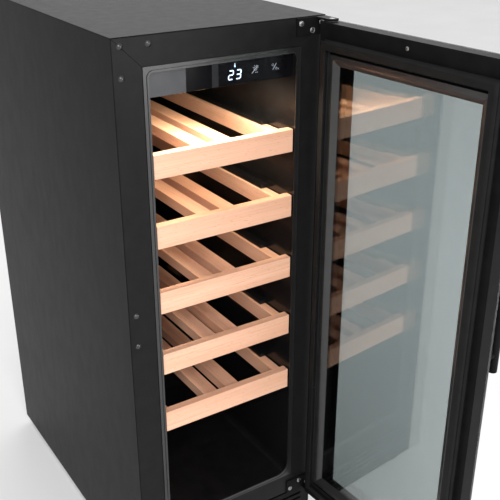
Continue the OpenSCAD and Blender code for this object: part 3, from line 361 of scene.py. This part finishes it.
def soften(name, width):
    """Rounds a CAD piece's edges by width, with modifiers only."""
    piece = nodes[name]
    piece.modifiers.new("join", "NODES").node_group = SMOOTHING
    if name not in RINGS:
        flat = piece.modifiers.new("flat", "DECIMATE")
        flat.decimate_type = "DISSOLVE"
        flat.angle_limit = FLAT_WITHIN
    edge = piece.modifiers.new("edge", "BEVEL")
    edge.width = width
    edge.segments = BEVEL_STEPS
    edge.limit_method = "ANGLE"
    edge.angle_limit = ROUNDED_ABOVE
    edge.harden_normals = True


EDGES = {
    1.2 * MM: ["side_panel_left", "side_panel_right", "top_panel"],
    0.9 * MM: [f"shelf_{i}_{part}" for i in SHELVES for part in ("front", "rails")],
    0.5 * MM: [*FRAME_MEMBERS, "hinge_brackets", "door_glass_outer", "door_glass_inner",
               "kick_grille", "control_housing", "control_window", "control_blank",
               "rear_vent_cover", "back_panel", "door_gasket", "shelf_guides_left",
               "shelf_guides_right", "control_box", "drip_tray", "power_inlet"],
    0.8 * MM: ["door_frame", "glazing_frame", "opening_trim"],
    1.5 * MM: ["door_handle"],
}
for width, names in EDGES.items():
    for name in names:
        soften(name, width)


# ---- mesh helpers ----

LATHE_STEPS = 32
ON_THE_AXIS = 1e-7  # metres: what a turned profile's ends leave there is one point


def piece_from(bm, name, body, material, smooth=True):
    """Makes the object of a finished bmesh, which then rides on a CAD body."""
    bmesh.ops.recalc_face_normals(bm, faces=bm.faces)
    mesh = bpy.data.meshes.new(name)
    bm.to_mesh(mesh)
    bm.free()
    if not mesh.polygons:
        raise ValueError(f"{name} has no faces")
    piece = bpy.data.objects.new(name, mesh)
    bpy.context.scene.collection.objects.link(piece)
    mesh.materials.append(material)
    if smooth:
        mesh.shade_smooth()
        mesh.set_sharp_from_angle(angle=SMOOTH_UP_TO)
    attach(piece, body)
    return piece


def block(bm, low, high):
    """A box between two corners, added to a bmesh."""
    low, high = Vector(low), Vector(high)
    made = bmesh.ops.create_cube(bm, size=1)
    bmesh.ops.scale(bm, vec=high - low, verts=made["verts"])
    bmesh.ops.translate(bm, vec=(low + high) / 2, verts=made["verts"])
    return made["verts"]


def lathe(profile):
    """A bmesh turned around Z from points of radius and height."""
    bm = bmesh.new()
    ring = [bm.verts.new((r, 0, z)) for r, z in profile]
    edges = [bm.edges.new(pair) for pair in zip(ring, ring[1:])]
    bmesh.ops.spin(bm, geom=ring + edges, axis=(0, 0, 1), cent=(0, 0, 0),
                   angle=2 * math.pi, steps=LATHE_STEPS)
    bmesh.ops.remove_doubles(bm, verts=bm.verts, dist=ON_THE_AXIS)
    return bm


def corners(places):
    """The lowest and the highest corner of a set of points."""
    return [Vector(pick(p[axis] for p in places) for axis in range(3)) for pick in (min, max)]


def solids_of(name):
    """The corners of each separate solid in a CAD node."""
    bm = bmesh.new()
    bm.from_mesh(nodes[name].data)
    bmesh.ops.remove_doubles(bm, verts=bm.verts, dist=SAME_PLACE)
    left = set(bm.verts)
    boxes = []
    while left:
        island, edge = set(), [left.pop()]
        while edge:
            vert = edge.pop()
            island.add(vert)
            others = [link.other_vert(vert) for link in vert.link_edges]
            edge += [other for other in others if other in left]
            left.difference_update(edge)
        boxes.append(corners([vert.co for vert in island]))
    bm.free()
    return sorted(boxes, key=lambda pair: tuple(round(x, 4) for x in pair[0]))


def add_copy(bm, mesh, matrix):
    """Adds a mesh to a bmesh, moved by matrix."""
    fresh = bmesh.new()
    fresh.from_mesh(mesh)
    fresh.transform(matrix)
    moved = bpy.data.meshes.new("moved")
    fresh.to_mesh(moved)
    fresh.free()
    bm.from_mesh(moved)
    bpy.data.meshes.remove(moved)


def carved(bm, cutter):
    """The mesh of one bmesh with another cut out of it. Frees both."""
    made = []
    for source in (bm, cutter):
        bmesh.ops.recalc_face_normals(source, faces=source.faces)
        mesh = bpy.data.meshes.new("raw")
        source.to_mesh(mesh)
        source.free()
        made.append(bpy.data.objects.new("raw", mesh))
        bpy.context.scene.collection.objects.link(made[-1])
    cut = made[0].modifiers.new("cut", "BOOLEAN")
    cut.object = made[1]
    cut.solver = "MANIFOLD"
    evaluated = made[0].evaluated_get(bpy.context.evaluated_depsgraph_get())
    result = bpy.data.meshes.new_from_object(evaluated)
    for item in made:
        raw = item.data
        bpy.data.objects.remove(item)
        bpy.data.meshes.remove(raw)
    return result


# The door is drawn shut and turned to where it stands at rest.
hinge = next(joint for joint in frame["joints"] if joint["name"] == "door_hinge")
hinge_at = Matrix.Translation(hinge["pos_m"])
door_open = math.radians(-hinge["range_deg"][0])
DOOR = hinge_at @ Matrix.Rotation(door_open, 4, "Z") @ hinge_at.inverted()
SHUT = DOOR.inverted()


def shut_box(name):
    """A door piece's corners with the door shut."""
    return corners([SHUT @ vert.co for vert in nodes[name].data.vertices])


# ---- screws with crossed recesses ----

def cross_screw(head_r, head_h, shaft_r, length):
    """A pan-head screw along -Z with its head above z = 0."""
    rim = head_h * 0.45
    dome_h = head_h - rim
    profile = [(0, -length), (shaft_r, -length + shaft_r), (shaft_r, 0),
               (head_r * 0.97, 0), (head_r, rim * 0.3)]
    for step in range(9):
        angle = math.radians(10 * step)
        profile.append((head_r * math.cos(angle), rim + dome_h * math.sin(angle)))
    profile.append((0, head_h))
    cutter = bmesh.new()
    arm, width, taper = head_r * 0.55, head_r * 0.17, 0.7
    for x, y in ((arm, width), (width, arm)):
        for vert in block(cutter, (-x, -y, head_h * 0.3), (x, y, head_h * 1.5)):
            if vert.co.z < head_h:
                vert.co.x *= taper
                vert.co.y *= taper
    return carved(lathe(profile), cutter)


PAN_HEAD_H = 1.6 * MM
MID_DEPTH = 0.1  # the front screws stand before this Y, those of the back behind it
TURN_BY_HEIGHT = 40  # radians for each metre of height, so crosses on different levels differ
BAND_SCREW_INSET = 10 * MM

screw_mesh = cross_screw(head_r=3.6 * MM, head_h=PAN_HEAD_H, shaft_r=2.0 * MM, length=9 * MM)
screw_bm = bmesh.new()
for low_corner, high_corner in solids_of("screws"):
    centre = (low_corner + high_corner) / 2
    to_front = centre.y < MID_DEPTH
    seat_y = low_corner.y + PAN_HEAD_H if to_front else high_corner.y - PAN_HEAD_H
    turn = Matrix.Rotation(math.radians(90 if to_front else -90), 4, "X")
    spin = Matrix.Rotation(centre.z * TURN_BY_HEIGHT, 4, "Z")
    seat = Matrix.Translation((centre.x, seat_y, centre.z))
    add_copy(screw_bm, screw_mesh, seat @ turn @ spin)
screw_piece = piece_from(screw_bm, "cross_screws", "cabinet",
                         LOOKS["steel_screw"])
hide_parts("screws")

frame_low, frame_high = shut_box("door_frame")
band_x = (frame_low.x + frame_high.x) / 2
band_screw = cross_screw(head_r=2.6 * MM, head_h=1.0 * MM, shaft_r=1.5 * MM, length=6 * MM)
band_bm = bmesh.new()
for z in (frame_low.z + BAND_SCREW_INSET, frame_high.z - BAND_SCREW_INSET):
    seat = Matrix.Translation((band_x, frame_high.y, z))
    add_copy(band_bm, band_screw, DOOR @ seat @ Matrix.Rotation(math.radians(-90), 4, "X"))
piece_from(band_bm, "door_band_screws", "door", LOOKS["steel_screw"])


# ---- printed border of the outer pane ----

BORDER_EDGE = 1.5 * MM  # from the pane's edge to the print
BORDER_W = 47 * MM  # from the pane's edge to the clear part
INK_DEPTH, INK_T = 0.3 * MM, 0.15 * MM


def rectangle(low, high, inset):
    """The corners in X and Z of a box, taken in on every side by inset."""
    x0, x1, z0, z1 = low.x + inset, high.x - inset, low.z + inset, high.z - inset
    return [(x0, z0), (x1, z0), (x1, z1), (x0, z1)]


pane_low, pane_high = shut_box("door_glass_outer")
ink_y = pane_high.y - INK_DEPTH
border_bm = bmesh.new()
rings = []
for y in (ink_y, ink_y - INK_T):
    for inset in (BORDER_EDGE, BORDER_W):
        outline = rectangle(pane_low, pane_high, inset)
        rings.append([border_bm.verts.new((x, y, z)) for x, z in outline])
for first, second in ((0, 1), (1, 3), (3, 2), (2, 0)):
    for k in range(4):
        n = (k + 1) % 4
        corner_verts = rings[first][k], rings[first][n], rings[second][n], rings[second][k]
        border_bm.faces.new(corner_verts)
border_bm.transform(DOOR)
piece_from(border_bm, "pane_border", "door", LOOKS["black_print"], smooth=False)


# ---- marks on the control window ----

window_low, window_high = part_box("control_window")
MARK_Y = window_low.y
MARK_T = 0.12 * MM


def prism(bm, outline):
    """A thin plate on the window's face with the outline, points of X and Z."""
    front = [bm.verts.new((x, MARK_Y - MARK_T, z)) for x, z in outline]
    back = [bm.verts.new((x, MARK_Y + MARK_T, z)) for x, z in outline]
    bm.faces.new(front)
    bm.faces.new(back[::-1])
    for k in range(len(outline)):
        n = (k + 1) % len(outline)
        bm.faces.new((front[k], back[k], back[n], front[n]))


def stroke(bm, start, end, width):
    """A bar with pointed ends between two points."""
    start, end = Vector(start), Vector(end)
    along = (end - start).normalized() * width / 2
    side = Vector((-along.y, along.x))
    prism(bm, [start, start + along + side, end - along + side,
               end, end - along - side, start + along - side])


def ring(bm, centre, radius, width, steps=16):
    """A round line."""
    points = [Vector(centre) + radius * Vector((math.cos(a), math.sin(a)))
              for a in (2 * math.pi * k / steps for k in range(steps + 1))]
    for start, end in zip(points, points[1:]):
        stroke(bm, start, end, width)


SEGMENTS = {  # ends on a grid one wide and two high
    "top": ((0, 2), (1, 2)), "middle": ((0, 1), (1, 1)), "low": ((0, 0), (1, 0)),
    "upper_left": ((0, 1), (0, 2)), "upper_right": ((1, 1), (1, 2)),
    "lower_left": ((0, 0), (0, 1)), "lower_right": ((1, 0), (1, 1)),
}
DIGITS = {
    2: ("top", "upper_right", "middle", "lower_left", "low"),
    3: ("top", "upper_right", "middle", "lower_right", "low"),
}
DIGIT_W, DIGIT_H, DIGIT_LINE, SLANT = 6.2 * MM, 10.6 * MM, 1.35 * MM, 0.13
DIGIT_GAP = 0.25 * MM
ICON_LINE = 0.55 * MM

# Where the marks stand: X, and how far below the cabinet's top, in millimetres.
TENS, UNITS, THERMOMETER = (8, 67), (19, 67), (17.5, 51)
LAMP_ICON, UNIT_ICON = (46.5, 59), (76.5, 59)
STRIP_X, STRIP_INSET = (-15 * MM, -6 * MM), 0.5 * MM
top_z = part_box("top_panel")[1].z


def mark_at(place):
    across, down = place
    return Vector((across * MM, top_z - down * MM))


def mm(x, z):
    """An offset in X and Z given in millimetres."""
    return Vector((x * MM, z * MM))


def digit(bm, number, place):
    foot = mark_at(place)
    for part in DIGITS[number]:
        start, end = (foot + Vector((u * DIGIT_W + v * SLANT * DIGIT_H / 2, v * DIGIT_H / 2))
                      for u, v in SEGMENTS[part])
        gap = DIGIT_GAP * (end - start).normalized()
        stroke(bm, start + gap, end - gap, DIGIT_LINE)


shown = bmesh.new()
digit(shown, 2, TENS)
digit(shown, 3, UNITS)
bulb = mark_at(THERMOMETER)
stroke(shown, bulb, bulb + mm(0, 3.4), 0.6 * MM)
ring(shown, bulb - mm(0, 0.5), 0.7 * MM, 0.5 * MM)
piece_from(shown, "temperature_display", "cabinet", LOOKS["mark_white"],
           smooth=False)

icons = bmesh.new()
lamp = mark_at(LAMP_ICON)
lamp_head = lamp + mm(1, 1.2)
ring(icons, lamp_head, 2.2 * MM, ICON_LINE)
stroke(icons, lamp + mm(-4.5, -4.5), lamp + mm(4.8, 4.8), ICON_LINE)
for angle in (20, 65, 110, 155):
    ray = Vector((math.cos(math.radians(angle)), math.sin(math.radians(angle))))
    stroke(icons, lamp_head + ray * 3.2 * MM, lamp_head + ray * 4.6 * MM, ICON_LINE)
for x in (0.6, 2.8):
    stroke(icons, lamp + mm(x, -3.6), lamp + mm(x + 1.8, -3.6), ICON_LINE)

unit = mark_at(UNIT_ICON)
stroke(icons, unit + mm(-3.2, -3.6), unit + mm(2.2, 4.4), ICON_LINE)
for x, z in ((-3.4, 2.6), (2.2, -2.2)):
    ring(icons, unit + mm(x, z), 1.3 * MM, ICON_LINE)
ring(icons, unit + mm(5.4, -3.2), 0.5 * MM, ICON_LINE, steps=8)
piece_from(icons, "touch_marks", "cabinet", LOOKS["mark_grey"], smooth=False)

strip = bmesh.new()
strip_low, strip_high = window_low.z + STRIP_INSET, window_high.z - STRIP_INSET
prism(strip, [(STRIP_X[0], strip_low), (STRIP_X[1], strip_low),
              (STRIP_X[1], strip_high), (STRIP_X[0], strip_high)])
piece_from(strip, "window_strip", "cabinet", LOOKS["strip_grey"], smooth=False)


# ---- camera, light and floor ----

CAMERA_AT = (-0.5247, -0.8624, 0.9945)
CAMERA_DOWN, CAMERA_RIGHT = 0.431, 0.575  # radians, from level and from straight to the back
SENSOR_W, LENS = 36, 60.86
WORLD_STRENGTH = 0.8
FLOOR_REACH = 12

scene = bpy.context.scene
scene.view_settings.view_transform = "Standard"
scene.view_settings.look = "None"

camera_data = bpy.data.cameras.new("view")
camera_data.sensor_width = SENSOR_W
camera_data.lens = LENS
camera = bpy.data.objects.new("view", camera_data)
camera.location = CAMERA_AT
camera.rotation_euler = (math.pi / 2 - CAMERA_DOWN, 0, -CAMERA_RIGHT)
scene.collection.objects.link(camera)
scene.camera = camera


def soft_light(name, place, aim, width, height, watts, colour=(1, 1, 1)):
    data = bpy.data.lights.new(name, "AREA")
    data.shape = "RECTANGLE"
    data.size, data.size_y = width, height
    data.energy = watts
    data.color = colour
    light = bpy.data.objects.new(name, data)
    light.location = place
    light.visible_camera = False
    light.rotation_euler = (Vector(aim) - Vector(place)).to_track_quat("-Z", "Y").to_euler()
    scene.collection.objects.link(light)


low, high = (Vector(corner) for corner in cad_box)
soft_light("key", place=(-1.1, -2.3, 2.0), aim=(low + high) / 2, width=1.6, height=1.3, watts=58)
soft_light("rear_top", place=(1.7, 2.6, 2.3), aim=(0, 0.25, 0.82), width=2.4, height=1.0, watts=18)
soft_light("front_right", place=(0.9, -1.8, 0.7), aim=(0, 0, 0.75), width=0.9, height=0.7, watts=14)

# The light under the panel leans 10 mm to the back on its way to the floor.
BELOW_BAR, LEAN = 2 * MM, 10 * MM
bar_low, bar_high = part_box("led_light_bar")
bar_y = (bar_low.y + bar_high.y) / 2
soft_light("panel_light", place=(0, bar_y, bar_low.z - BELOW_BAR), aim=(0, bar_y + LEAN, 0),
           width=bar_high.x - bar_low.x, height=bar_high.y - bar_low.y, watts=0.9,
           colour=(1.0, 0.86, 0.62))

world = bpy.data.worlds.new("studio")
world.use_nodes = True
world.node_tree.nodes["Background"].inputs["Color"].default_value = (1, 1, 1, 1)
world.node_tree.nodes["Background"].inputs["Strength"].default_value = WORLD_STRENGTH
scene.world = world

floor_bm = bmesh.new()
bmesh.ops.create_grid(floor_bm, x_segments=1, y_segments=1, size=FLOOR_REACH)
floor_mesh = bpy.data.meshes.new("floor")
floor_bm.to_mesh(floor_mesh)
floor_bm.free()
floor = bpy.data.objects.new("floor", floor_mesh)
scene.collection.objects.link(floor)
floor_look = Look("floor", (0.86, 0.86, 0.86), 0.7)
floor_tone = floor_look.noise(floor_look.place(), scale=3, detail=4)
floor_dark, floor_light = (0.88, 0.88, 0.88), (0.92, 0.92, 0.92)
floor_look.set("Base Color", floor_look.blend(floor_tone, floor_dark, floor_light))
floor_mesh.materials.append(floor_look.material)
